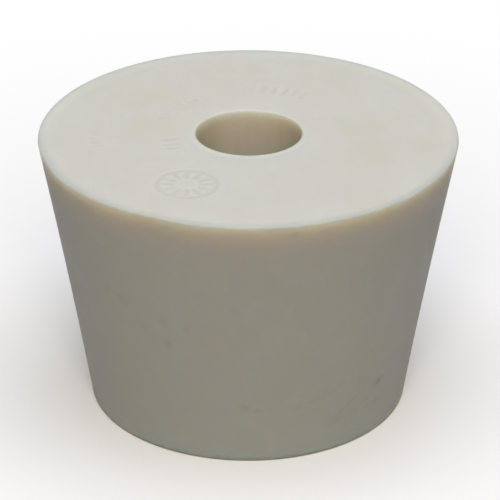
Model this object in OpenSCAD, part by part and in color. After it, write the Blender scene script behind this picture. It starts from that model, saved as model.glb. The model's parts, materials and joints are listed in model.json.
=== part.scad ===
// Tapered rubber stopper with one bore right through it.
//
// The stopper is moulded in one piece, so it is one solid: a section with
// rounded corners, turned once about the axis of the bore. It stands on its
// small end. The origin is the centre of that end, and +Z runs up the bore to
// the large end. All sizes are in millimetres.
//
// Both end diameters are taken to the sharp corners, where the slanting side
// would meet the flat faces if the edges were not rounded.

/* [Body] */
// Diameter of the large end
large_end_d = 37; // [32:0.5:60]
// Diameter of the small end
small_end_d = 28.4; // [22:0.2:31.8]
// Height of the stopper, from one flat face to the other
height = 25; // [12:0.5:45]

/* [Bore] */
// Diameter of the bore
bore_d = 9.5; // [3:0.5:14]

/* [Edges] */
// Radius of the rim round the large end
large_rim_r = 0.2; // [0.05:0.05:1.5]
// Radius of the edge round the small end
small_rim_r = 0.15; // [0.05:0.05:1.5]
// Radius of the lip at each mouth of the bore
bore_lip_r = 0.15; // [0.05:0.05:1]

/* [Hidden] */

// Straight pieces in one full turn of the body, and in one full edge circle
turn_facets = 240;
edge_facets = 64;
// What each edge circle is made larger by, so that it surely covers its tangent
// points and the arcs run into the sides with no step
weld = 0.0001;

// Pale grey-cream rubber
rubber = [0.81, 0.80, 0.77];

// Sharp corners of the section, [distance from the axis, height], going round
// from the small end's mouth of the bore
corners = [
    [bore_d / 2, 0],
    [small_end_d / 2, 0],
    [large_end_d / 2, height],
    [bore_d / 2, height]
];
// Radius of the rounding at each of those corners
corner_radii = [bore_lip_r, small_rim_r, large_rim_r, bore_lip_r];

// The corner after the one with index i, and the one before it
function next_corner(i) = corners[(i + 1) % len(corners)];
function last_corner(i) = corners[(i + len(corners) - 1) % len(corners)];

// Unit vector that points from a to b
function heading(a, b) = (b - a) / norm(b - a);

// Half of the angle that the section fills at corner i
function half_angle(i) =
    acos(heading(corners[i], last_corner(i)) * heading(corners[i], next_corner(i))) / 2;

// Point on the side towards end, where the rounding of corner i runs out
function tangent_point(i, end) =
    corners[i] + heading(corners[i], end) * corner_radii[i] / tan(half_angle(i));

// Unit vector from corner i into the section, on the line that halves its angle
function inward(i) =
    heading(
        [0, 0],
        heading(corners[i], last_corner(i)) + heading(corners[i], next_corner(i))
    );

// Centre of the arc that rounds corner i
function arc_centre(i) = corners[i] + inward(i) * corner_radii[i] / sin(half_angle(i));

// Half section of the stopper. The polygon cuts straight across each corner
// from tangent point to tangent point, and the circles fill the arcs back in.
module rounded_section() {
    union() {
        polygon([
            for (i = [0 : len(corners) - 1])
                each [tangent_point(i, last_corner(i)), tangent_point(i, next_corner(i))]
        ]);
        for (i = [0 : len(corners) - 1])
            translate(arc_centre(i))
                circle(r = corner_radii[i] + weld, $fn = edge_facets);
    }
}

// The whole stopper
module stopper() {
    color(rubber)
        rotate_extrude($fn = turn_facets)
            rounded_section();
}

stopper();
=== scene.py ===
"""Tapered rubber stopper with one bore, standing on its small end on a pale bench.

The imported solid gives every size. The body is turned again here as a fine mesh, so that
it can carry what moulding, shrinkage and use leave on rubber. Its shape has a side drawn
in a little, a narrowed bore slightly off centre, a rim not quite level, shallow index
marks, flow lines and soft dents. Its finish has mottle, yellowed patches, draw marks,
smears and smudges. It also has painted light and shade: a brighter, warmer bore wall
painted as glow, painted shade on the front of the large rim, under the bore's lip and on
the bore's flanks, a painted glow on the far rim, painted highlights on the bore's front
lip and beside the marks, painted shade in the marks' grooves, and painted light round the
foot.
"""

import json
import math

import bpy
from bpy.props import FloatProperty, FloatVectorProperty, IntProperty, PointerProperty
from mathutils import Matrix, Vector


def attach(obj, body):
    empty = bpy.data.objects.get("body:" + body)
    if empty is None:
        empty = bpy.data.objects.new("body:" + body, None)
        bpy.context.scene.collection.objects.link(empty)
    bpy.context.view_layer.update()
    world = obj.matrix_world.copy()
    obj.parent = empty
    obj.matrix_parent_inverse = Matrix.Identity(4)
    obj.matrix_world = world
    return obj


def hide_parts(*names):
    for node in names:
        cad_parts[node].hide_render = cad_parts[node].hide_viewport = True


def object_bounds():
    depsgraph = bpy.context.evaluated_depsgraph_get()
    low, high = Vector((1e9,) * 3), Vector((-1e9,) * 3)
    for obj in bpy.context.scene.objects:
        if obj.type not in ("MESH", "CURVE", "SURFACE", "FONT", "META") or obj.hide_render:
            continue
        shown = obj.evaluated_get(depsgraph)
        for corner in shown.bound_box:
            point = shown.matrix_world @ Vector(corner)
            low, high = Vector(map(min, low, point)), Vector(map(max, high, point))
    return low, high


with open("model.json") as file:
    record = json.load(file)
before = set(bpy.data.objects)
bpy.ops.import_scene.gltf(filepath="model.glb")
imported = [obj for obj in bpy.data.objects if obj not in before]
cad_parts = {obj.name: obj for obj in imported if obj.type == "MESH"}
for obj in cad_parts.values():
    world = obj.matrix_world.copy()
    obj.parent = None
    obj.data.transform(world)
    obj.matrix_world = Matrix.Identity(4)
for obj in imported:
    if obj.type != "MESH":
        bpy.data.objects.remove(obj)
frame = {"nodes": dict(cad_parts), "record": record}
CAD_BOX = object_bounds()

bl_info = {
    "name": "Rubber Stopper",
    "version": (1, 0, 0),
    "blender": (4, 5, 0),
    "location": "View3D > Sidebar > Stopper",
    "description": "Builds a bored rubber stopper and the bench that it stands on",
    "category": "Add Mesh",
}

MM = 0.001


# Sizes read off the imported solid


def outer_rings(mesh, beyond):
    """Height and radius of each ring of points beyond a radius, lowest first."""
    rings = {}
    for vertex in mesh.vertices:
        radius = math.hypot(vertex.co.x, vertex.co.y)
        if radius > beyond:
            height = round(vertex.co.z, 6)
            rings[height] = max(radius, rings.get(height, 0))
    return sorted(rings.items())


def read_sizes():
    """Sharp-cornered radii, height and edge radii of the solid, in metres."""
    wall = next(m["dims"] for m in frame["record"]["mounts"] if m["name"] == "bore")
    bore = wall["r_mm"] * MM
    low, high = CAD_BOX
    height = high.z - low.z
    rings = outer_rings(frame["nodes"]["stopper"].data, beyond=1.5 * bore)
    # The rounded edges have close rings. Wide gaps belong to the straight side.
    wide_gap = 1 * MM
    straight = [pair for pair in zip(rings, rings[1:]) if pair[1][0] - pair[0][0] > wide_gap]
    foot, head = straight[0][0], straight[-1][1]
    lean = (head[1] - foot[1]) / (head[0] - foot[0])
    slope = math.sin(math.atan(lean))
    return {
        "height": height,
        "small_end": foot[1] - lean * foot[0],
        "large_end": head[1] + lean * (height - head[0]),
        "bore": bore,
        "small_rim": foot[0] / (1 - slope),
        "large_rim": (height - head[0]) / (1 + slope),
        "bore_lip": (height - wall["length_mm"] * MM) / 2,
    }


SIZES = read_sizes()


def on_side(turn, height):
    """Point on the slanting side, at a turn in degrees from +X and a height in metres."""
    share = height / SIZES["height"]
    radius = SIZES["small_end"] + (SIZES["large_end"] - SIZES["small_end"]) * share
    angle = math.radians(turn)
    return Vector((radius * math.cos(angle), radius * math.sin(angle), height))


# Radii between which the large end carries its index marks
MARK_BAND = (6.2 * MM, 14.2 * MM)

# Noise value at which the slow unevenness leaves the surface where it was
SWELL_LEVEL = 0.6

# Dents in the side: (turn in degrees, height, width, depth), lengths in millimetres
DENTS = (
    (-77.6, 24.0, 0.7, 0.06),
    (-114.8, 11.9, 0.9, 0.03),
    (35.0, 15.2, 1.6, 0.05),
    (118.0, 8.4, 1.2, 0.05),
    (171.0, 18.8, 1.4, 0.04),
)

# Where the rim of the large end stands high or low: (turn in degrees, half width in
# degrees, rise in millimetres). Each rise fades out inwards along the face and down
# along the side, and the rim is drawn in by a multiple of it.
RIM_RISES = ((-117.0, 14.0, 0.075), (-148.0, 17.0, -0.04), (-50.0, 22.0, -0.026))
RISE_INWARDS = 4 * MM
RISE_DOWNWARDS = 12 * MM
DRAWN_IN = 2.0

# Flow lines in the side: start, bend and end of each, as turn in degrees and height in
# millimetres
FLOW_LINES = (
    ((-92.6, 6.1), (-89.7, 5.6), (-86.0, 5.4)),
    ((-43.9, 5.5), (-41.5, 5.55), (-39.4, 5.8)),
    ((-78.0, 5.7), (-67.0, 5.6), (-57.0, 7.1)),
    ((-55.8, 4.0), (-53.5, 5.0), (-48.0, 5.5)),
    ((-46.4, 3.1), (-43.5, 3.5), (-39.8, 3.5)),
    ((58.0, 7.0), (66.0, 8.2), (79.0, 8.6)),
    ((141.0, 16.5), (149.0, 15.4), (155.0, 15.6)),
)
FLOW_STEPS = 12

# Soft dark smudges on the side: (turn in degrees, height, radius, strength), lengths in
# millimetres
SMUDGES = (
    (-114.8, 11.86, 0.65, 0.4),
    (-130.3, 15.25, 0.8, 0.15),
    (-123.5, 13.1, 0.6, 0.18),
    (-115.5, 14.2, 0.7, 0.12),
    (-136.1, 15.8, 0.5, 0.16),
    (-108.6, 13.7, 0.6, 0.16),
    (-93.7, 16.0, 0.8, 0.12),
    (-103.9, 12.2, 0.6, 0.1),
    (-111.0, 4.9, 0.5, 0.12),
    (-91.0, 5.9, 0.6, 0.22),
    (-87.0, 5.5, 0.45, 0.16),
    (-42.5, 5.55, 0.55, 0.35),
    (-40.8, 5.6, 0.6, 0.55),
    (-39.5, 5.85, 0.45, 0.3),
    (-77.6, 24.0, 0.5, 0.3),
    (64.0, 9.6, 0.6, 0.3),
    (148.0, 19.1, 0.7, 0.24),
    (12.0, 14.3, 0.6, 0.2),
)

# Yellowed patches of the large end: (x, y, radius, strength), lengths in millimetres
YELLOWED = (
    (-8.8, 8.0, 8.0, 0.7),
    (8.0, 11.5, 7.0, 0.6),
    (10.5, -4.5, 6.0, 0.7),
    (15.6, -2.6, 4.0, 0.8),
    (9.5, -12.5, 4.0, 0.5),
    (-8.8, 1.5, 5.5, 0.75),
    (-1.8, 12.8, 5.5, 0.7),
    (9.5, 1.0, 5.0, 0.65),
)

# The ticked ring on the large end
RING_RADIUS = 2.6 * MM
RING_SIDES = 48

# Arcs of short bars on the large end: (radius, turn of the first in degrees, sweep in
# degrees, count, length of a bar), lengths in millimetres
BAR_ARCS = (
    (9.5, 58.0, 29.0, 6, 1.5),
    (7.9, 119.0, 39.0, 8, 1.4),
    (7.1, 192.0, 14.0, 3, 1.3),
    (13.4, 168.0, 24.0, 8, 0.8),
)

# Share of their full depth that use has left the marks, at the least and at the most. The
# ring has kept at least its own share, which fades out between two distances from its
# middle.
MARKS_LEFT = (0.15, 0.7)
RING_LEFT = 0.75
RING_FADE = (1.2 * RING_RADIUS, 1.5 * RING_RADIUS)

# Middle of the smeared part of the side, as turn in degrees and height in metres, and how
# the smears slant there
SMEAR_CENTRE = (-55.0, 5 * MM)
SMEAR_SLANT = (0.0, math.radians(25), math.radians(-35))

# The bore wall is darkened by painted shade on either side of a plane across X, which
# stands here, in millimetres. The shade begins and is full this far from it, as shares of
# the bore's radius.
FLANK_SHADE_MIDDLE = -0.2
FLANK_SHADE_SPAN = (0.2, 1.1)

# Distances from the middle between which the bench fades to plain white, in millimetres
SHADOW_FADE = (22.0, 90.0)


# Node trees


class Graph:
    """Adds nodes to one tree. A value that is a socket is linked, any other is set."""

    def __init__(self, tree, output_kind):
        self.tree = tree
        self.leave = tree.nodes.new(output_kind)

    def feed(self, socket, value):
        """Links or sets one input."""
        if isinstance(value, bpy.types.NodeSocket):
            self.tree.links.new(value, socket)
        else:
            socket.default_value = value

    def node(self, kind, values=None, **settings):
        """New node. The settings come first, because some of them change its inputs."""
        made = self.tree.nodes.new(kind)
        for name, setting in settings.items():
            setattr(made, name, setting)
        for key, value in (values or {}).items():
            self.feed(made.inputs[key], value)
        return made

    def group(self, tree, values):
        """Outputs of a node that runs another group."""
        kind = tree.bl_idname.replace("Tree", "Group")
        return self.node(kind, values, node_tree=tree).outputs

    def math(self, operation, *values):
        """Result of one Math node."""
        values = dict(enumerate(values))
        return self.node("ShaderNodeMath", values, operation=operation).outputs["Value"]

    def chain(self, operation, first, *others):
        """Result of a Math operation carried on from each value to the next."""
        for other in others:
            first = self.math(operation, first, other)
        return first

    def times(self, *values):
        """Product of the values."""
        return self.chain("MULTIPLY", *values)

    def plus(self, *values):
        """Sum of the values."""
        return self.chain("ADD", *values)

    def largest(self, *values):
        """Largest of the values."""
        return self.chain("MAXIMUM", *values)

    def minus(self, first, second):
        """Difference of two numbers."""
        return self.math("SUBTRACT", first, second)

    def vector(self, operation, *values):
        """Result of one Vector Math node, which is a number for a distance or a length."""
        made = self.node("ShaderNodeVectorMath", dict(enumerate(values)), operation=operation)
        return made.outputs["Value" if operation in ("DISTANCE", "LENGTH") else "Vector"]

    def scaled(self, value, factor):
        """Vector times a number."""
        made = self.node("ShaderNodeVectorMath", {0: value, "Scale": factor}, operation="SCALE")
        return made.outputs["Vector"]

    def parts(self, vector):
        """X, Y and Z of a vector."""
        made = self.node("ShaderNodeSeparateXYZ", {"Vector": vector})
        return made.outputs["X"], made.outputs["Y"], made.outputs["Z"]

    def joined(self, x=0.0, y=0.0, z=0.0):
        """Vector from X, Y and Z."""
        made = self.node("ShaderNodeCombineXYZ", {"X": x, "Y": y, "Z": z})
        return made.outputs["Vector"]

    def ramp(self, value, low, high, to_low=0.0, to_high=1.0):
        """Value eased from one range to another, and held at both ends."""
        spans = {"From Min": low, "From Max": high, "To Min": to_low, "To Max": to_high}
        made = self.node(
            "ShaderNodeMapRange", {"Value": value, **spans}, interpolation_type="SMOOTHSTEP"
        )
        return made.outputs["Result"]

    def fade(self, value, reach, full=1.0):
        """Full where the value is zero, easing to nothing at its reach."""
        return self.ramp(value, 0.0, reach, full, 0.0)

    def noise(self, place, scale, detail=2.0, roughness=0.5, distortion=0.0):
        """Noise value between 0 and 1."""
        values = {"Vector": place, "Scale": scale, "Detail": detail, "Roughness": roughness}
        made = self.node("ShaderNodeTexNoise", {**values, "Distortion": distortion})
        return made.outputs["Fac"]

    def shaken(self, place, scale, width):
        """Place moved about by coloured noise, over this width along each axis."""
        noise = self.node("ShaderNodeTexNoise", {"Vector": place, "Scale": scale})
        shake = self.vector("SUBTRACT", noise.outputs["Color"], (0.5, 0.5, 0.5))
        return self.vector("ADD", place, self.scaled(shake, width))

    def blend(self, factor, first, second, kind="MIX"):
        """Colour mixed from two."""
        values = {"Factor": factor, "A": first, "B": second}
        settings = {"data_type": "RGBA", "blend_type": kind}
        return self.node("ShaderNodeMix", values, **settings).outputs["Result"]

    def geometry(self, kind, source=None, values=None, **settings):
        """Geometry made by one geometry node, out of another where it takes one. The kind is
        what follows GeometryNode in the node's name."""
        values = dict(values or {})
        if source is not None:
            values[0] = source
        return self.node("GeometryNode" + kind, values, **settings).outputs[0]

    def merged(self, pieces):
        """Geometries joined into one."""
        made = self.node("GeometryNodeJoinGeometry")
        for piece in pieces:
            self.tree.links.new(piece, made.inputs["Geometry"])
        return made.outputs["Geometry"]

    def nearness(self, target, elements):
        """Distance to the nearest point, edge or face of a geometry."""
        values = {"Geometry": target}
        made = self.node("GeometryNodeProximity", values, target_element=elements)
        return made.outputs["Distance"]

    def attribute(self, name):
        """Number that each point carries under this name."""
        made = self.node("GeometryNodeInputNamedAttribute", {"Name": name}, data_type="FLOAT")
        return made.outputs["Attribute"]

    def stored(self, geometry, name, value):
        """Geometry that carries a number for each of its points."""
        values = {"Name": name, "Value": value}
        settings = {"data_type": "FLOAT", "domain": "POINT"}
        return self.geometry("StoreNamedAttribute", geometry, values, **settings)

    def finished(self, outputs):
        """The tree, with its outputs fed and its nodes set out in columns, each of them
        right of what feeds it."""
        for name, value in outputs.items():
            self.feed(self.leave.inputs[name], value)
        column = {}

        def place(node):
            if node.name not in column:
                sources = {link.from_node for s in node.inputs for link in s.links}
                column[node.name] = 1 + max((place(n) for n in sources), default=-1)
            return column[node.name]

        column_width, row_height = 220, 260
        filled = {}
        for node in self.tree.nodes:
            across = place(node)
            down = filled.get(across, 0)
            filled[across] = down + 1
            node.location = (across * column_width, -down * row_height)
        return self.tree


FLOAT, COUNT, PLACE = "NodeSocketFloat", "NodeSocketInt", "NodeSocketVector"
COLOUR, GEOMETRY, FINISH = "NodeSocketColor", "NodeSocketGeometry", "NodeSocketMaterial"


def socket_kind(value):
    """Kind of the socket that takes this value. A kind stands for itself."""
    if isinstance(value, (float, int, str)):
        return {float: FLOAT, int: COUNT}.get(type(value), value)
    return COLOUR if len(value) == 4 else PLACE


def new_group(name, tree_kind, inputs, outputs):
    """Node group with its sockets: its graph, and what its inputs give by name. An input
    is given with its default, or with its kind where it can have none."""
    tree = bpy.data.node_groups.new(name, tree_kind)
    for label, default in inputs.items():
        kind = socket_kind(default)
        made = tree.interface.new_socket(label, in_out="INPUT", socket_type=kind)
        if kind != default:
            made.default_value = default
    for label, kind in outputs.items():
        tree.interface.new_socket(label, in_out="OUTPUT", socket_type=kind)
    return Graph(tree, "NodeGroupOutput"), tree.nodes.new("NodeGroupInput").outputs


def shader_group(name, inputs, outputs):
    """Shader group that works at a place in millimetres: its graph, what its inputs give
    by name, and the place."""
    inputs = {"Place": (0.0, 0.0, 0.0), **inputs}
    g, given = new_group(name, "ShaderNodeTree", inputs, outputs)
    return g, given, given["Place"]


def shader_graph(owner, output_kind="ShaderNodeOutputMaterial"):
    """Graph of a material or a world, emptied of all but its output."""
    owner.use_nodes = True
    owner.node_tree.nodes.clear()
    return Graph(owner.node_tree, output_kind)


# Shape


def section_tree(arc_steps):
    """Closed outline of the stopper's half section, radius along X and height along Y."""
    sizes = {key.replace("_", " ").title(): size for key, size in SIZES.items()}
    inputs = {**sizes, "Row Spacing": 0.2 * MM}
    g, given = new_group("Stopper section", "GeometryNodeTree", inputs, {"Section": GEOMETRY})
    corners = {
        "Point 1": g.joined(given["Bore"]),
        "Point 2": g.joined(given["Small End"]),
        "Point 3": g.joined(given["Large End"], given["Height"]),
        "Point 4": g.joined(given["Bore"], given["Height"]),
    }
    sharp = g.geometry("CurvePrimitiveQuadrilateral", values=corners, mode="POINTS")
    # The switch starts with two items, and each corner needs one for its radius.
    radii = g.node("GeometryNodeIndexSwitch", data_type="FLOAT")
    while len(radii.index_switch_items) < len(corners):
        radii.index_switch_items.new()
    for corner, name in enumerate(("Bore Lip", "Small Rim", "Large Rim", "Bore Lip")):
        g.feed(radii.inputs[str(corner)], given[name])
    index = g.node("GeometryNodeInputIndex").outputs["Index"]
    g.feed(radii.inputs["Index"], index)
    arcs = {"Count": arc_steps, "Radius": radii.outputs["Output"]}
    rounded = g.geometry("FilletCurve", sharp, arcs, mode="POLY")
    # Long stretches are first cut into short ones, and those are cut again by where they
    # lie: finest in the band that carries the marks, and widest in the bore and the foot.
    short_stretch = 1.6 * MM
    place = g.node("GeometryNodeInputPosition").outputs["Position"]
    ahead = g.node("GeometryNodeOffsetPointInCurve", {"Point Index": index, "Offset": 1})
    there = {"Value": place, "Index": ahead.outputs["Point Index"]}
    following = g.node("GeometryNodeFieldAtIndex", there, data_type="FLOAT_VECTOR")
    following = following.outputs["Value"]
    reach = g.vector("DISTANCE", place, following)
    across, up, _ = g.parts(g.scaled(g.vector("ADD", place, following), 0.5))
    cuts = g.math("FLOOR", g.math("DIVIDE", reach, short_stretch))
    short = g.geometry("SubdivideCurve", rounded, {"Cuts": cuts})
    below_face = g.math("LESS_THAN", up, g.minus(given["Height"], given["Large Rim"]))
    past_marks = g.math("GREATER_THAN", across, MARK_BAND[1])
    before_marks = g.math("LESS_THAN", across, MARK_BAND[0])
    in_bore = g.math("LESS_THAN", across, g.plus(given["Bore"], given["Bore Lip"]))
    under = g.math("LESS_THAN", up, given["Small Rim"])
    little_seen = g.largest(in_bore, under)
    off_marks = g.largest(past_marks, before_marks, below_face)
    times_wider = g.plus(1.0, off_marks, below_face, g.times(little_seen, 3.0))
    spacing = g.times(given["Row Spacing"], times_wider)
    cuts = g.math("FLOOR", g.math("DIVIDE", reach, spacing))
    return g.finished({"Section": g.geometry("SubdivideCurve", short, {"Cuts": cuts})})


def marks_tree():
    """Thin lines of the mould's index marks, lying on the large end: a ticked ring, and
    short bars in arcs round the bore."""
    inputs = {
        "Height": SIZES["height"],
        "Ring Place": (0.0, 0.0, 0.0),
        "Ring Radius": RING_RADIUS,
        "Tick Count": 12,
        "Tick Length": 0.9 * MM,
    }
    g, given = new_group("Index marks", "GeometryNodeTree", inputs, {"Lines": GEOMETRY})

    def spokes(base, length):
        """A short line at each point of a curve, square to it."""
        points = g.node("GeometryNodeCurveToPoints", {"Curve": base}, mode="EVALUATED")
        half = g.times(length, 0.5)
        ends = {"Start": g.joined(g.times(half, -1.0)), "End": g.joined(half)}
        stick = g.geometry("CurvePrimitiveLine", values=ends)
        normal = points.outputs["Normal"]
        heading = g.node("FunctionNodeAlignRotationToVector", {"Vector": normal}, axis="X")
        instance = {"Instance": stick, "Rotation": heading.outputs["Rotation"]}
        placed = g.geometry("InstanceOnPoints", points.outputs["Points"], instance)
        return g.geometry("RealizeInstances", placed)

    def circle(sides, radius):
        """Full circle about the origin."""
        values = {"Resolution": sides, "Radius": radius}
        return g.geometry("CurvePrimitiveCircle", values=values)

    tick_radius = g.minus(given["Ring Radius"], given["Tick Length"])
    ticks = spokes(circle(given["Tick Count"], tick_radius), given["Tick Length"])
    dial = g.merged([circle(RING_SIDES, given["Ring Radius"]), ticks])
    pieces = [g.geometry("Transform", dial, {"Translation": given["Ring Place"]})]
    for radius, start, sweep, count, length in BAR_ARCS:
        arc = {
            "Resolution": count,
            "Radius": radius * MM,
            "Start Angle": math.radians(start),
            "Sweep Angle": math.radians(sweep),
        }
        pieces.append(spokes(g.geometry("CurveArc", values=arc), length * MM))
    lift = {"Translation": g.joined(z=given["Height"])}
    lifted = g.geometry("Transform", g.merged(pieces), lift)
    return g.finished({"Lines": g.geometry("CurveToMesh", lifted)})


def turned(g, section, segments):
    """The section turned about the bore. A profile swept round a circle keeps its X along
    the circle's radius and its Y pointing down, so the section is moved in by that radius
    and mirrored. The mirror turns the faces inwards, and they are flipped back."""
    radius = SIZES["bore"]
    moved = {"Translation": (-radius, 0.0, 0.0), "Scale": (1.0, -1.0, 1.0)}
    profile = g.geometry("Transform", section, moved)
    circle = {"Resolution": segments, "Radius": radius}
    path = g.geometry("CurvePrimitiveCircle", values=circle)
    path = g.geometry("SetCurveNormal", path, mode="Z_UP")
    swept = g.geometry("CurveToMesh", path, {"Profile Curve": profile})
    return g.geometry("FlipFaces", swept)


def shrinkage(g, place, given):
    """How far shrinkage moves each point, on the side, in the bore and at the large rim."""
    x, y, z = g.parts(place)
    outward = g.joined(x, y)
    radius = g.vector("LENGTH", outward)
    height, large_end, bore = (SIZES[key] for key in ("height", "large_end", "bore"))
    lip_edge = bore + SIZES["bore_lip"]

    # The side draws in most at half height, where four times rise times fall comes to 1.
    rise = g.math("DIVIDE", z, height)
    fall = g.minus(1.0, rise)
    on_outside = g.ramp(radius, lip_edge, SIZES["small_end"] - SIZES["small_rim"])
    hollow = g.times(rise, fall, 4.0, given["Side Hollow"], on_outside)

    # The bore has shrunk a little and stands a hair off centre. The ends take up both.
    by_bore = g.ramp(radius, lip_edge, 2 * bore, 1.0, 0.0)
    narrowed = g.times(by_bore, given["Bore Shrinkage"])

    # The rim of the large end isn't quite level, and where it stands high it is drawn in.
    turn = g.math("DEGREES", g.math("ARCTAN2", y, x))
    rises = []
    for middle, half_width, most in RIM_RISES:
        away = g.math("ABSOLUTE", g.minus(turn, middle))
        rises.append(g.fade(away, half_width, most * MM))
    near_face = g.ramp(z, height - RISE_DOWNWARDS, height - MM)
    near_edge = g.ramp(radius, large_end - RISE_INWARDS, large_end)
    lift = g.times(near_face, near_edge, g.plus(*rises))

    pull = g.plus(hollow, narrowed, g.times(lift, DRAWN_IN))
    moved = g.scaled(g.vector("NORMALIZE", outward), g.times(pull, -1.0))
    moved = g.vector("ADD", moved, g.scaled(given["Bore Drift"], by_bore))
    return g.vector("ADD", moved, g.joined(z=lift))


def dent_depth(g, dents):
    """How deep the nearest dent is pressed in here."""
    nearest = g.node("GeometryNodeSampleNearest", {"Geometry": dents}).outputs["Index"]

    def carried(name):
        """What the nearest dent carries under this name."""
        values = {"Geometry": dents, "Value": g.attribute(name), "Index": nearest}
        return g.node("GeometryNodeSampleIndex", values, data_type="FLOAT").outputs["Value"]

    closeness = g.fade(g.nearness(dents, "POINTS"), carried("width"))
    return g.times(closeness, carried("depth"))


def marks_left(g, place, ring_place):
    """Share of their full depth that use has left the marks here."""
    wear = g.noise(g.scaled(place, 1 / MM), scale=0.3, detail=3.0, roughness=0.6)
    worn = g.ramp(wear, 0.35, 0.62, *MARKS_LEFT)
    ring_middle = g.vector("ADD", ring_place, (0.0, 0.0, SIZES["height"]))
    from_ring = g.vector("DISTANCE", place, ring_middle)
    return g.largest(worn, g.ramp(from_ring, *RING_FADE, RING_LEFT, 0.0))


def groove_and_burr(g, lines, width, left):
    """How far a point lies in a line's groove, and in the painted highlight beside it.
    Distances from the line are counted in half widths."""
    groove_edge, highlight_middle, highlight_reach = 1.2, 1.7, 0.8
    gap = g.math("DIVIDE", g.times(g.nearness(lines, "EDGES"), 2.0), width)
    groove = g.fade(gap, groove_edge)
    burr = g.fade(g.math("ABSOLUTE", g.minus(gap, highlight_middle)), highlight_reach)
    return g.times(groove, left), g.times(burr, left)


def body_tree(section, marks, shape):
    """Turns the section about the bore, and presses in the marks, the dents and the flow
    lines, with the slow unevenness of moulded rubber."""
    rubbers = {f"{zone} Rubber": FINISH for zone in ("Side", "Face", "Bore")}
    inputs = {"Flaws": GEOMETRY, **shape, **rubbers}
    g, given = new_group("Turned stopper", "GeometryNodeTree", inputs, {"Stopper": GEOMETRY})
    outline = g.group(section, {"Row Spacing": given["Row Spacing"]})["Section"]
    body = turned(g, outline, given["Segments"])
    place = g.node("GeometryNodeInputPosition").outputs["Position"]
    normal = g.node("GeometryNodeInputNormal").outputs["Normal"]
    x, y, z = g.parts(place)

    # Slow unevenness along the surface, none of it where the foot stands.
    foot_stands = 2 * MM
    swell = g.minus(g.noise(g.scaled(place, 1 / MM), scale=0.16), SWELL_LEVEL)
    uneven = g.times(swell, given["Waviness"], g.ramp(z, 0.0, foot_stands))

    # The flaws are loose points for the dents, each with its own width and depth, and
    # edges for the flow lines.
    flaws = {"Geometry": given["Flaws"], "Selection": g.attribute("line")}
    parted = g.node("GeometryNodeSeparateGeometry", flaws).outputs
    flow_lines = parted["Selection"]
    mark_lines = g.group(marks, {"Ring Place": given["Ring Place"]})["Lines"]
    left = marks_left(g, place, given["Ring Place"])
    mark, mark_highlight = groove_and_burr(g, mark_lines, given["Mark Width"], left)
    flow, flow_highlight = groove_and_burr(g, flow_lines, given["Flow Width"], left)
    # The groove share darkens the colour as painted shade in the grooves, and the highlight share
    # lays a painted highlight beside them
    body = g.stored(body, "groove", g.largest(mark, flow))
    body = g.stored(body, "burr", g.largest(mark_highlight, flow_highlight))

    mark_depth = g.times(mark, given["Mark Depth"])
    flow_depth = g.times(flow, given["Flow Depth"])
    pressed = g.plus(mark_depth, flow_depth, dent_depth(g, parted["Inverted"]))
    along_normal = g.scaled(normal, g.minus(uneven, pressed))
    offset = g.vector("ADD", shrinkage(g, place, given), along_normal)
    shaped = g.geometry("SetPosition", body, {"Offset": offset})
    smooth = g.geometry("SetShadeSmooth", shaped)
    finished = g.geometry("RealizeInstances", smooth)

    # The ends, the bore and the side each take their own finish.
    _, _, facing = g.parts(normal)
    flat = g.math("GREATER_THAN", g.math("ABSOLUTE", facing), math.sin(math.radians(45)))
    radius = g.vector("LENGTH", g.joined(x, y))
    inside = g.math("LESS_THAN", radius, SIZES["bore"] + SIZES["bore_lip"])
    for values in (
        {"Material": given["Side Rubber"]},
        {"Material": given["Face Rubber"], "Selection": flat},
        {"Material": given["Bore Rubber"], "Selection": g.minus(inside, flat)},
    ):
        finished = g.geometry("SetMaterial", finished, values)
    return g.finished({"Stopper": finished})


def flaw_mesh():
    """Loose points for the dents, with width and depth, and edges along the flow lines.
    Each line leaves its start towards its bend, and comes to its end from there."""
    places = [on_side(turn, height * MM) for turn, height, _, _ in DENTS]
    edges = []
    for line in FLOW_LINES:
        corners = [(turn, height * MM) for turn, height in line]
        first = len(places)
        for step in range(FLOW_STEPS + 1):
            t = step / FLOW_STEPS
            weights = ((1 - t) ** 2, 2 * t * (1 - t), t * t)
            turn, height = (
                sum(w * corner[axis] for w, corner in zip(weights, corners)) for axis in (0, 1)
            )
            places.append(on_side(turn, height))
        edges += [(i, i + 1) for i in range(first, first + FLOW_STEPS)]
    mesh = bpy.data.meshes.new("flaws")
    mesh.from_pydata(places, edges, [])
    line_points = len(places) - len(DENTS)
    for name, dent_values, line_value in (
        ("width", [width * MM for _, _, width, _ in DENTS], 0.0),
        ("depth", [depth * MM for _, _, _, depth in DENTS], 0.0),
        ("line", [0.0] * len(DENTS), 1.0),
    ):
        values = dent_values + [line_value] * line_points
        mesh.attributes.new(name, "FLOAT", "POINT").data.foreach_set("value", values)
    return mesh


def set_inputs(modifier, values):
    """Sets a Geometry Nodes modifier's inputs, each found by its name."""
    for item in modifier.node_group.interface.items_tree:
        if item.in_out == "INPUT" and item.name in values:
            modifier[item.identifier] = values[item.name]


def add_object(name, data):
    """New object in the scene."""
    made = bpy.data.objects.new(name, data)
    bpy.context.scene.collection.objects.link(made)
    return made


def frozen(carrier, name):
    """The carrier's evaluated mesh as an object of its own. The carrier is removed."""
    evaluated = carrier.evaluated_get(bpy.context.evaluated_depsgraph_get())
    mesh = bpy.data.meshes.new_from_object(evaluated)
    mesh.name = name
    old = carrier.data
    bpy.data.objects.remove(carrier)
    bpy.data.meshes.remove(old)
    return add_object(name, mesh)


# Finish. The places that the shader groups work with are in millimetres.


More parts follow.
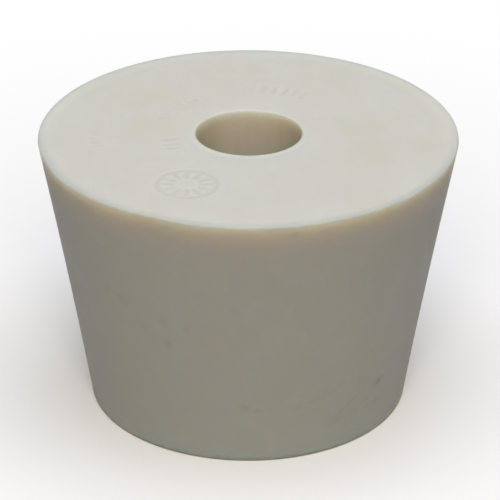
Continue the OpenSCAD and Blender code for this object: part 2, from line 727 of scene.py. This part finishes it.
def mottle_group():
    """Colour that drifts between three tones of the rubber, in clouds and in fine grain."""
    inputs = {
        "Rubber": (0.6, 0.57, 0.5, 1.0),
        "Warm": (0.6, 0.56, 0.46, 1.0),
        "Chalky": (0.66, 0.64, 0.59, 1.0),
        "Cloud Amount": 0.5,
        "Grain Amount": 0.2,
    }
    g, given, place = shader_group("Rubber mottle", inputs, {"Color": COLOUR})
    warm_cloud = g.noise(place, scale=0.11, detail=3.0, roughness=0.55, distortion=0.6)
    pale_cloud = g.noise(place, scale=0.23, detail=4.0, roughness=0.6, distortion=1.2)
    grain = g.noise(place, scale=2.4, detail=3.0, roughness=0.6)
    tone = given["Rubber"]
    for pattern, low, high, amount, other in (
        (warm_cloud, 0.35, 0.7, "Cloud Amount", "Warm"),
        (pale_cloud, 0.45, 0.75, "Cloud Amount", "Chalky"),
        (grain, 0.3, 0.8, "Grain Amount", "Chalky"),
    ):
        share = g.times(g.ramp(pattern, low, high), given[amount])
        tone = g.blend(share, tone, given[other])
    return g.finished({"Color": tone})


def yellowed_group():
    """Mask of the patches where the large end has yellowed."""
    g, given, place = shader_group("Yellowed patches", {"Drift": 6.0}, {"Mask": FLOAT})
    drifted = g.shaken(place, 0.3, given["Drift"])
    patches = []
    for x, y, radius, strength in YELLOWED:
        gap = g.vector("DISTANCE", drifted, (x, y, SIZES["height"] / MM))
        patches.append(g.fade(gap, radius, strength))
    return g.finished({"Mask": g.largest(*patches)})


def skin_group():
    """Height and roughness of a moulded skin: fine peel, slow swell and draw marks."""
    inputs = {"Peel": 0.5, "Swell": 0.5, "Draw Marks": 0.0, "Rough Low": 0.4, "Rough High": 0.55}
    outputs = {"Height": FLOAT, "Roughness": FLOAT, "Draw Mask": FLOAT}
    g, given, place = shader_group("Moulded skin", inputs, outputs)
    peel = g.noise(place, scale=7.0, detail=3.0, roughness=0.6)
    swell = g.noise(place, scale=0.7)
    # Draw marks run up the wall, so their noise is stretched along Z.
    stretched = g.vector("MULTIPLY", place, (1.0, 1.0, 0.05))
    draw = g.noise(stretched, scale=1.6, detail=4.0, roughness=0.65, distortion=0.15)
    draw_mask = g.times(g.ramp(draw, 0.35, 0.75), given["Draw Marks"])
    height = g.plus(g.times(peel, given["Peel"]), g.times(swell, given["Swell"]), draw_mask)
    patch = g.noise(place, scale=0.35, detail=4.0, roughness=0.65, distortion=0.8)
    patch = g.ramp(patch, 0.3, 0.7)
    span = {"Factor": patch, "A": given["Rough Low"], "B": given["Rough High"]}
    rough = g.node("ShaderNodeMix", span, data_type="FLOAT").outputs["Result"]
    return g.finished({"Height": height, "Roughness": rough, "Draw Mask": draw_mask})


def speck_group():
    """Mask of soft dark smudges at known places, and of rare specks scattered by chance."""
    shares = {"Speck Share": 0.2, "Scattered": 0.35}
    inputs = {"Spacing": 3.0, "Size": 0.16, "Ragged": 0.35, **shares}
    g, given, place = shader_group("Specks", inputs, {"Mask": FLOAT})
    ragged = g.shaken(place, 3.0, given["Ragged"])
    smudges = []
    for turn, height, radius, strength in SMUDGES:
        gap = g.vector("DISTANCE", ragged, on_side(turn, height * MM) / MM)
        smudges.append(g.fade(gap, radius, strength))
    grid = {"Vector": place, "Scale": g.math("DIVIDE", 1.0, given["Spacing"])}
    cells = g.node("ShaderNodeTexVoronoi", grid).outputs
    chance, spread, _ = g.parts(cells["Color"])
    gap = g.times(cells["Distance"], given["Spacing"])
    dot = g.fade(gap, g.times(given["Size"], g.plus(spread, 0.5)))
    chosen = g.math("LESS_THAN", chance, given["Speck Share"])
    scattered = g.times(dot, chosen, given["Scattered"])
    return g.finished({"Mask": g.largest(*smudges, scattered)})


def smear_group():
    """Mask of faint slanting flow lines in the skin, strongest round one place."""
    inputs = {"Centre": on_side(*SMEAR_CENTRE) / MM, "Reach": 8.0, "Slant": SMEAR_SLANT}
    g, given, place = shader_group("Flow smears", inputs, {"Mask": FLOAT})
    offset = g.vector("SUBTRACT", place, given["Centre"])
    turn = {"Vector": offset, "Rotation": given["Slant"]}
    turned = g.node("ShaderNodeVectorRotate", turn, rotation_type="EULER_XYZ").outputs["Vector"]
    stretched = g.vector("MULTIPLY", turned, (0.12, 1.0, 1.0))
    streaks = g.noise(stretched, scale=0.9, detail=4.0, roughness=0.6, distortion=0.4)
    near = g.fade(g.vector("LENGTH", offset), given["Reach"])
    return g.finished({"Mask": g.times(g.ramp(streaks, 0.48, 0.72), near)})


def edge_group():
    """Masks of painted light and shade at the edges: painted shade on the front of the large
    end's rim and a painted glow on its far side, the bore's upper lip, whole and at both of
    these, for painted shade under it and a painted highlight at its front, and painted light
    round the foot with the lower lip."""
    inputs = {
        "Front Rim Band": 0.75,
        "Far Rim Band": 2.0,
        "Lip Band": 0.75,
        "Foot Band": 1.2,
        "Foot Sharpness": 2.5,
        "Underside Share": 0.4,
    }
    names = ("Front Rim", "Far Rim", "Lip", "Front Lip", "Far Lip", "Foot")
    g, given, place = shader_group("Rubbed edges", inputs, {name: FLOAT for name in names})
    x, y, z = g.parts(place)
    section = g.joined(g.vector("LENGTH", g.joined(x, y)), z)
    patchy = g.noise(place, scale=0.5, detail=4.0, roughness=0.6)
    patchy = g.ramp(patchy, 0.2, 0.7, 0.6, 1.0)

    def rubbed(end, height, band):
        """1 on the corner of this end at this height, 0 a band away from it."""
        corner = (SIZES[end] / MM, height / MM, 0.0)
        gap = g.vector("DISTANCE", section, corner)
        return g.times(g.fade(gap, given[band]), patchy)

    # Between these two distances behind the middle, the front passes into the far side.
    # The lip's own two masks take the square of this, so that neither shows much halfway.
    front_ends, far_begins = -9.0, 8.0
    front = g.ramp(y, front_ends, far_begins, 1.0, 0.0)
    far = g.minus(1.0, front)
    top = SIZES["height"]
    lip = rubbed("bore", top, "Lip Band")
    # The painted light round the foot is weaker on the underside than a hair's breadth
    # or more above it.
    hair = 0.06
    below = g.ramp(z, 0.0, hair, given["Underside Share"], 1.0)
    foot = g.largest(rubbed("small_end", 0.0, "Foot Band"), rubbed("bore", 0.0, "Foot Band"))
    return g.finished(
        {
            "Front Rim": g.times(rubbed("large_end", top, "Front Rim Band"), front),
            "Far Rim": g.times(rubbed("large_end", top, "Far Rim Band"), far),
            "Lip": lip,
            "Front Lip": g.times(front, front, lip),
            "Far Lip": g.times(far, far, lip),
            "Foot": g.times(g.math("POWER", foot, given["Foot Sharpness"]), below),
        }
    )


def new_material(name):
    """Empty material, with its graph and the place on the object in millimetres."""
    material = bpy.data.materials.new(name)
    g = shader_graph(material)
    return material, g, g.scaled(g.node("ShaderNodeTexCoord").outputs["Object"], 1 / MM)


def rubber_material(name, groups, finish, values):
    """Satin, slightly translucent rubber, from the shared groups and this zone's values."""
    material, g, place = new_material(name)
    # The bore wall takes brighter, warmer tones, a painted glow for the light inside the bore. The
    # edge tints are painted light and shade: shade under the bore's lip, a darker front and a
    # glowing far half of the large rim, and a highlight at the front of the bore's lip.
    if values["Inside"]:
        tones = (finish.bore_tone_painted_glow, finish.bore_warm_painted_glow, finish.bore_tone_painted_glow)
        edge_painted_light = (("Lip", finish.lip_painted_shade, "MULTIPLY"), ("Far Lip", finish.far_lip_painted_shade, "MIX"))
    else:
        tones = (finish.rubber, finish.warm, finish.chalky)
        edge_painted_light = (
            ("Front Rim", finish.front_rim_painted_shade, "MULTIPLY"),
            ("Far Rim", finish.far_rim_painted_glow, "MIX"),
            ("Front Lip", finish.front_lip_painted_highlight, "MIX"),
        )
    inputs = {
        "Place": place,
        "Rough Low": finish.roughness - values["Rough Span"] / 2,
        "Rough High": finish.roughness + values["Rough Span"] / 2,
        **{name: (*tone, 1.0) for name, tone in zip(("Rubber", "Warm", "Chalky"), tones)},
        **values,
    }

    def shared(group):
        """Outputs of a shared group, with each of its inputs that has a value here set."""
        items = groups[group].interface.items_tree
        names = [item.name for item in items if item.in_out == "INPUT" and item.name in inputs]
        return g.group(groups[group], {name: inputs[name] for name in names})

    skin = shared("skin")
    edges = shared("edges")

    # Layers of the colour, one over the other: (mask, tint, how it is laid on). The layers of
    # the bore's flanks, the edges, the grooves and the highlights beside them are painted light
    # and shade.
    layers = [
        (shared("yellowed")["Mask"], finish.yellowed, "MULTIPLY"),
        (g.times(skin["Draw Mask"], values["Draw Shade"]), finish.smear_and_groove_shade, "MULTIPLY"),
    ]
    if values["Smear"]:
        smears = g.times(shared("smears")["Mask"], values["Smear"])
        layers.append((smears, finish.smear_and_groove_shade, "MULTIPLY"))
    # Painted shade on the two flanks of the bore, darker away from the plane
    if values["Side Scuff"]:
        across, _, _ = g.parts(g.vector("SUBTRACT", place, (FLANK_SHADE_MIDDLE, 0.0, 0.0)))
        away = g.math("DIVIDE", g.math("ABSOLUTE", across), SIZES["bore"] / MM)
        flank_shade = g.times(g.ramp(away, *FLANK_SHADE_SPAN), values["Side Scuff"])
        layers.append((flank_shade, finish.flank_painted_shade, "MULTIPLY"))
    layers += [(edges[mask], tint, kind) for mask, tint, kind in edge_painted_light]
    # Painted light round the foot and the bore's lower lip, where the edge would fall dark
    layers.append((edges["Foot"], finish.foot_painted_light, "MIX"))
    # Painted shade in the grooves of the marks and flow lines, and a painted highlight beside them
    if values["Marks"]:
        for attribute, amount, tint, kind in (
            ("groove", values["Marks"], finish.smear_and_groove_shade, "MULTIPLY"),
            ("burr", values["Marks"] / 2, finish.burr, "MIX"),
        ):
            mask = g.node("ShaderNodeAttribute", attribute_name=attribute).outputs["Fac"]
            layers.append((g.times(mask, amount), tint, kind))
    dark = g.times(shared("specks")["Mask"], finish.speck_strength)
    layers.append((dark, finish.speck, "MIX"))
    colour = shared("mottle")["Color"]
    for mask, tint, kind in layers:
        colour = g.blend(mask, colour, (*tint, 1.0), kind)

    bump = {"Strength": 1.0, "Distance": finish.skin_depth, "Height": skin["Height"]}
    shader = g.node(
        "ShaderNodeBsdfPrincipled",
        {
            "Base Color": colour,
            "Roughness": skin["Roughness"],
            "Normal": g.node("ShaderNodeBump", bump).outputs["Normal"],
            "IOR": finish.ior,
            "Specular IOR Level": finish.specular,
            "Subsurface Weight": finish.translucency,
            "Subsurface Radius": tuple(finish.glow),
            "Subsurface Scale": finish.glow_depth,
        },
        subsurface_method="RANDOM_WALK",
    )
    g.finished({"Surface": shader.outputs["BSDF"]})
    return material


# Each zone's values. Those with the name of a shared group's input go there, and the rest
# to the material itself. Bands are in millimetres.
PLAIN_ZONE = {
    "Inside": False, "Cloud Amount": 0.35, "Grain Amount": 0.12, "Draw Marks": 0.0,
    "Draw Shade": 0.0, "Speck Share": 0.04, "Smear": 0.0, "Front Rim Band": 0.75,
    "Lip Band": 0.75, "Marks": 0.42, "Side Scuff": 0.0,
}
ZONES = {
    "Rubber side": {
        **PLAIN_ZONE, "Peel": 0.35, "Swell": 0.8, "Rough Span": 0.14, "Draw Marks": 0.25,
        "Draw Shade": 0.12, "Speck Share": 0.06, "Smear": 0.25,
    },
    "Rubber end face": {
        **PLAIN_ZONE, "Peel": 0.4, "Swell": 0.6, "Rough Span": 0.1, "Grain Amount": 0.1,
        "Front Rim Band": 0.95,
    },
    "Rubber bore": {
        **PLAIN_ZONE, "Peel": 0.3, "Swell": 0.5, "Rough Span": 0.12, "Inside": True,
        "Draw Marks": 0.6, "Draw Shade": 0.3, "Lip Band": 1.6, "Marks": 0.0,
        "Side Scuff": 1.0,
    },
}


def rubber_finishes(finish):
    """The three rubber materials, by zone."""
    groups = {
        "mottle": mottle_group(),
        "yellowed": yellowed_group(),
        "skin": skin_group(),
        "specks": speck_group(),
        "smears": smear_group(),
        "edges": edge_group(),
    }
    return {name: rubber_material(name, groups, finish, values) for name, values in ZONES.items()}


def looked_at(g):
    """1 for rays from the camera, mirrors and glass, 0 for those that light things."""
    path = g.node("ShaderNodeLightPath").outputs
    kinds = ("Is Camera Ray", "Is Glossy Ray", "Is Transmission Ray")
    return g.largest(*(path[kind] for kind in kinds))


def bench_material(stage):
    """Matt bench top. The camera and mirrors see it white, with the stopper's shadow,
    and plain white far out. The light that it throws back at the stopper is that of a
    warm mid-grey top close round the foot, and of a dark one further out."""
    material, g, place = new_material("Pale bench")
    fleck = g.noise(place, scale=0.8, detail=5.0, roughness=0.6)
    fleck = g.ramp(fleck, 0.2, 0.8, 0.985, 1.0)
    out_from_middle = g.vector("LENGTH", place)
    foot = SIZES["small_end"] / MM
    reach = stage.bounce_reach / MM
    bounce = g.ramp(out_from_middle, foot, foot + reach, stage.foot_bounce, stage.bounce)

    def matt(colour, amount):
        """Matt shader of a colour times an amount."""
        paint = g.scaled(tuple(colour), amount)
        return g.node("ShaderNodeBsdfDiffuse", {"Color": paint}).outputs["BSDF"]

    def mixed(factor, first, second):
        """Two shaders, mixed."""
        return g.node("ShaderNodeMixShader", {0: factor, 1: first, 2: second}).outputs["Shader"]

    plain = {"Color": (1.0, 1.0, 1.0, 1.0), "Strength": 1.0}
    white = g.node("ShaderNodeEmission", plain).outputs["Emission"]
    far = g.ramp(out_from_middle, *SHADOW_FADE)
    seen = mixed(far, matt(stage.bench_colour, fleck), white)
    unseen = matt(stage.bounce_colour, bounce)
    g.finished({"Surface": mixed(looked_at(g), unseen, seen)})
    return material


# Stage


def make_bench(stage):
    """Round bench top under the stopper."""
    sides = 96
    height = CAD_BOX[0].z - stage.bench_gap
    ring = []
    for side in range(sides):
        turn = math.tau * side / sides
        x, y = stage.bench_radius * math.cos(turn), stage.bench_radius * math.sin(turn)
        ring.append((x, y, height))
    mesh = bpy.data.meshes.new("bench")
    mesh.from_pydata(ring, [], [range(sides)])
    mesh.materials.append(bench_material(stage))
    return add_object("bench", mesh)


def make_world(stage):
    """Even light from all round, seen as white by the camera and in reflections."""
    world = bpy.data.worlds.new("Studio")
    bpy.context.scene.world = world
    g = shader_graph(world, "ShaderNodeOutputWorld")
    seen = looked_at(g)
    strength = g.ramp(seen, 0.0, 1.0, stage.ambient, 1.0)
    colour = g.blend(seen, (*stage.ambient_colour, 1.0), (1.0, 1.0, 1.0, 1.0))
    light = g.node("ShaderNodeBackground", {"Color": colour, "Strength": strength})
    g.finished({"Surface": light.outputs["Background"]})


def make_softbox(stage, name, aim):
    """Square lamp that faces its aim, from the stage's properties of its name."""
    power, size, place, colour = (
        getattr(stage, f"{name}_{key}") for key in ("power", "size", "place", "colour")
    )
    lamp = bpy.data.lights.new(name, "AREA")
    lamp.shape = "SQUARE"
    lamp.size = size
    lamp.energy = power
    lamp.color = colour
    box = add_object(name, lamp)
    box.location = place
    box.rotation_euler = (Vector(aim) - Vector(place)).to_track_quat("-Z", "Y").to_euler()


def make_camera(stage):
    """Long lens above bench height, looking down at the stopper's middle."""
    lens = bpy.data.cameras.new("camera")
    lens.lens = stage.lens
    lens.clip_start = 10 * MM
    camera = add_object("camera", lens)
    aim = Vector(stage.aim)
    back = Vector((0.0, -math.cos(stage.pitch), math.sin(stage.pitch)))
    camera.location = aim + back * stage.distance
    camera.rotation_euler = (-back).to_track_quat("-Z", "Y").to_euler()
    camera.rotation_euler.rotate_axis("Z", stage.roll)
    bpy.context.scene.camera = camera


# Properties


def prop_kind(make, **common):
    """Maker of one kind of property, from its name, its description, its default and any
    limits of its own."""

    def made(name, description, default, **own):
        return make(name=name, description=description, default=default, **{**common, **own})

    return made


length_prop = prop_kind(FloatProperty, min=0.0, subtype="DISTANCE", unit="LENGTH")
place_prop = prop_kind(FloatVectorProperty, subtype="TRANSLATION", unit="LENGTH")
colour_prop = prop_kind(FloatVectorProperty, min=0.0, max=1.0, subtype="COLOR")
share_prop = prop_kind(FloatProperty, min=0.0, max=1.0, subtype="FACTOR")
angle_prop = prop_kind(FloatProperty, subtype="ANGLE", unit="ROTATION")
power_prop = prop_kind(FloatProperty, min=0.0, unit="POWER")


class StopperShape(bpy.types.PropertyGroup):
    """Sizes of the fine mesh and of the marks that moulding leaves."""

    row_spacing: length_prop(
        "Row Spacing", "Distance between rows of points along the section", 0.14 * MM,
        min=0.05 * MM,
    )
    segments: IntProperty(
        name="Segments", description="Straight pieces in one full turn",
        default=440, min=48, max=720,
    )
    side_hollow: length_prop("Side Hollow", "How far the side draws in at half height", 0.1 * MM)
    bore_shrinkage: length_prop(
        "Bore Shrinkage", "How much smaller than drawn the bore's radius came out", 0.07 * MM
    )
    bore_drift: place_prop(
        "Bore Drift", "How far the bore stands off centre", (0.045 * MM, 0.16 * MM, 0.0)
    )
    waviness: length_prop(
        "Waviness", "Height of the slow unevenness of every face but the foot", 0.02 * MM
    )
    mark_width: length_prop(
        "Mark Width", "Width of the lines of the index marks", 0.5 * MM, min=0.1 * MM
    )
    mark_depth: length_prop(
        "Mark Depth", "How deep the index marks are pressed into the large end", 0.1 * MM
    )
    flow_width: length_prop(
        "Flow Width", "Width of the flow lines in the side", 0.6 * MM, min=0.1 * MM
    )
    flow_depth: length_prop("Flow Depth", "Depth of the flow lines in the side", 0.03 * MM)
    ring_place: place_prop(
        "Ring Place", "Centre of the ticked ring on the large end",
        (-5.2 * MM, -10.3 * MM, 0.0),
    )


class StopperFinish(bpy.types.PropertyGroup):
    """Colours and surface of the rubber."""

    rubber: colour_prop("Rubber", "Main tone of the rubber", (0.58, 0.55, 0.48))
    warm: colour_prop("Warm", "Tone of the warmer clouds", (0.57, 0.53, 0.44))
    chalky: colour_prop("Chalky", "Tone of the paler clouds and the grain", (0.63, 0.605, 0.545))
    yellowed: colour_prop(
        "Yellowed", "What yellowing multiplies the colour by", (0.975, 0.965, 0.885)
    )
    # Painted glow: brighter, warmer tones of the bore wall, for light that bounces and travels
    # inside the bore
    bore_tone_painted_glow: colour_prop(
        "Rubber Inside", "Tone of the brighter, warmer rubber of the bore wall", (0.655, 0.58, 0.465)
    )
    bore_warm_painted_glow: colour_prop(
        "Warm Inside", "Tone of the warmer clouds of the bore wall", (0.62, 0.545, 0.42)
    )
    # Painted shade that darkens the front of the large rim
    front_rim_painted_shade: colour_prop(
        "Worn Edge", "What the painted shade at the front of the large rim multiplies the colour by",
        (0.74, 0.79, 0.81),
    )
    # Painted glow: a paler warm tone on the far half of the large rim, for light through it
    far_rim_painted_glow: colour_prop(
        "Pale Rim", "Paler tone of the far half of the large rim", (0.75, 0.655, 0.495)
    )
    # Painted highlight on the front of the bore's lip
    front_lip_painted_highlight: colour_prop(
        "Rubbed Lip", "Paler tone of the bore's lip at the front", (0.89, 0.81, 0.53)
    )
    # Painted light that brightens the foot's edge
    foot_painted_light: colour_prop(
        "Rubbed Foot", "Paler tone painted as light round the small end", (0.98, 0.82, 0.52)
    )
    # Painted shade on the bore wall just under its lip
    lip_painted_shade: colour_prop(
        "Cut Lip", "What the painted shade under the lip of the bore multiplies its wall's colour by",
        (0.85, 0.92, 0.95),
    )
    # Painted shade on the bore wall under its lip at the far side
    far_lip_painted_shade: colour_prop(
        "Far Lip", "Greyer tone of the bore's wall under its lip at the far side",
        (0.56, 0.56, 0.52),
    )
    # Painted highlight beside the grooves of the marks and flow lines
    burr: colour_prop("Burr", "Painted highlight beside the marks", (0.7, 0.67, 0.6))
    speck: colour_prop("Speck", "Colour of the dark smudges and specks", (0.16, 0.14, 0.11))
    # Painted shade that darkens the bore's two flanks
    flank_painted_shade: colour_prop(
        "Scuff", "What the painted shade on the two flanks of the bore multiplies its colour by",
        (0.77, 0.77, 0.65),
    )
    # Smears and draw marks are the rubber's own; in the grooves this tint is painted shade
    smear_and_groove_shade: colour_prop(
        "Smear", "What smears, draw marks and the painted shade in grooves multiply the colour by",
        (0.8, 0.79, 0.75),
    )
    speck_strength: share_prop("Speck Strength", "How dark smudges and specks show", 0.5)
    roughness: share_prop("Roughness", "Mean roughness of the skin", 0.65)
    skin_depth: length_prop("Skin Depth", "Depth of the fine peel and draw marks", 0.01 * MM)
    ior: FloatProperty(
        name="IOR", description="Refractive index of the rubber", default=1.5, min=1.0, max=2.0,
    )
    specular: share_prop("Specular", "Strength of the surface reflection", 0.5)
    translucency: share_prop("Translucency", "Share of the light that goes through the rubber", 1.0)
    glow: FloatVectorProperty(
        name="Glow", description="How far each colour travels inside, as a share of the depth",
        default=(1.0, 0.72, 0.42), min=0.0, max=1.0,
    )
    glow_depth: length_prop("Glow Depth", "How far light travels inside the rubber", 5.0 * MM)


class StopperStage(bpy.types.PropertyGroup):
    """Bench, lamps and camera."""

    bench_radius: length_prop("Bench Radius", "Radius of the bench top", 2.0, min=0.2)
    bench_gap: length_prop("Bench Gap", "Hair's breadth between the bench and the foot", 0.02 * MM)
    bench_colour: colour_prop(
        "Bench Colour", "Colour of the bench, as the camera sees it", (1.0, 0.955, 0.91)
    )
    bounce: share_prop("Bounce", "Share of the light that the bench throws back", 0.1)
    foot_bounce: share_prop("Foot Bounce", "The same share, close round the foot", 0.4)
    bounce_colour: colour_prop(
        "Bounce Colour", "Colour of the light that the bench throws back", (1.0, 0.87, 0.65)
    )
    bounce_reach: length_prop(
        "Bounce Reach", "How far out from the foot the one fades to the other", 2.0 * MM
    )
    ambient: FloatProperty(
        name="Ambient", description="Strength of the even light from all round",
        default=0.38, min=0.0, max=2.0,
    )
    ambient_colour: colour_prop("Ambient Colour", "Colour of the even light", (0.93, 0.97, 1.0))
    overhead_power: power_prop("Overhead Power", "Power of the softbox above", 2.15)
    overhead_size: length_prop("Overhead Size", "Width of the softbox above", 0.5, min=0.01)
    overhead_place: place_prop("Overhead Place", "Middle of the softbox above", (0.03, -0.05, 0.6))
    overhead_colour: colour_prop(
        "Overhead Colour", "Colour of the softbox above", (0.82, 0.86, 1.0)
    )
    front_power: power_prop("Front Power", "Power of the weak softbox in front", 1.46)
    front_size: length_prop("Front Size", "Width of the softbox in front", 0.25, min=0.01)
    front_place: place_prop("Front Place", "Middle of the softbox in front", (0.0, -0.5, 0.44))
    front_colour: colour_prop("Front Colour", "Colour of the softbox in front", (1.0, 0.99, 0.87))
    lens: FloatProperty(
        name="Lens", description="Focal length of the camera, in millimetres",
        default=219.4, min=20.0, max=400.0, unit="CAMERA",
    )
    pitch: angle_prop("Pitch", "How far down the camera looks", math.radians(27.1))
    distance: length_prop(
        "Distance", "From the camera to the point that it looks at", 0.2729, min=0.05
    )
    roll: angle_prop("Roll", "How far the camera leans to its own right", math.radians(0.08))
    aim: place_prop("Aim", "Point that the camera looks at", (0.16 * MM, 0.0, 13.45 * MM))


def own_properties(group):
    """The properties that a group declares itself, by key."""
    built_in = ("rna_type", "name")
    return {key: prop for key, prop in group.bl_rna.properties.items() if key not in built_in}


def named_values(group):
    """What a group's properties hold, by their names."""
    return {prop.name: getattr(group, key) for key, prop in own_properties(group).items()}


# Operators


class STOPPER_OT_body(bpy.types.Operator):
    """Turn the stopper's body as a fine mesh, with its marks and its rubber finish"""

    bl_idname = "stopper.body"
    bl_label = "Make Stopper"
    bl_options = {"REGISTER", "UNDO"}

    def execute(self, context):
        shape = named_values(context.scene.stopper_shape)
        finishes = rubber_finishes(context.scene.stopper_finish)
        carrier = add_object("flaws", flaw_mesh())
        modifier = carrier.modifiers.new("Turned stopper", "NODES")
        modifier.node_group = body_tree(section_tree(arc_steps=6), marks_tree(), shape)
        rubbers = {
            "Side Rubber": finishes["Rubber side"],
            "Face Rubber": finishes["Rubber end face"],
            "Bore Rubber": finishes["Rubber bore"],
        }
        set_inputs(modifier, {**shape, **rubbers})
        body = frozen(carrier, "stopper_body")
        if not body.data.polygons:
            raise RuntimeError("the turned body came out empty")
        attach(body, "root")
        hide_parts("stopper")
        return {"FINISHED"}


class STOPPER_OT_stage(bpy.types.Operator):
    """Set up the bench, the soft lamps and the camera"""

    bl_idname = "stopper.stage"
    bl_label = "Set Stage"
    bl_options = {"REGISTER", "UNDO"}

    def execute(self, context):
        stage = context.scene.stopper_stage
        make_bench(stage)
        make_world(stage)
        for name in ("overhead", "front"):
            make_softbox(stage, name, aim=(0.0, 0.0, SIZES["height"]))
        make_camera(stage)
        context.scene.view_settings.view_transform = "Standard"
        return {"FINISHED"}


class STOPPER_PT_panel(bpy.types.Panel):
    """Sidebar panel with the stopper's sizes, its finish and its stage"""

    bl_idname = "STOPPER_PT_panel"
    bl_label = "Rubber Stopper"
    bl_space_type = "VIEW_3D"
    bl_region_type = "UI"
    bl_category = "Stopper"

    def draw(self, context):
        scene = context.scene
        for operator, group in (
            (STOPPER_OT_body, scene.stopper_shape),
            (None, scene.stopper_finish),
            (STOPPER_OT_stage, scene.stopper_stage),
        ):
            box = self.layout.box()
            if operator:
                box.operator(operator.bl_idname)
            for key in own_properties(group):
                box.prop(group, key)


CLASSES = (
    StopperShape,
    StopperFinish,
    StopperStage,
    STOPPER_OT_body,
    STOPPER_OT_stage,
    STOPPER_PT_panel,
)


def register():
    for cls in CLASSES:
        bpy.utils.register_class(cls)
    bpy.types.Scene.stopper_shape = PointerProperty(type=StopperShape)
    bpy.types.Scene.stopper_finish = PointerProperty(type=StopperFinish)
    bpy.types.Scene.stopper_stage = PointerProperty(type=StopperStage)


def unregister():
    del bpy.types.Scene.stopper_stage
    del bpy.types.Scene.stopper_finish
    del bpy.types.Scene.stopper_shape
    for cls in reversed(CLASSES):
        bpy.utils.unregister_class(cls)


def main():
    register()
    bpy.ops.stopper.body()
    bpy.ops.stopper.stage()


if __name__ == "__main__":
    main()
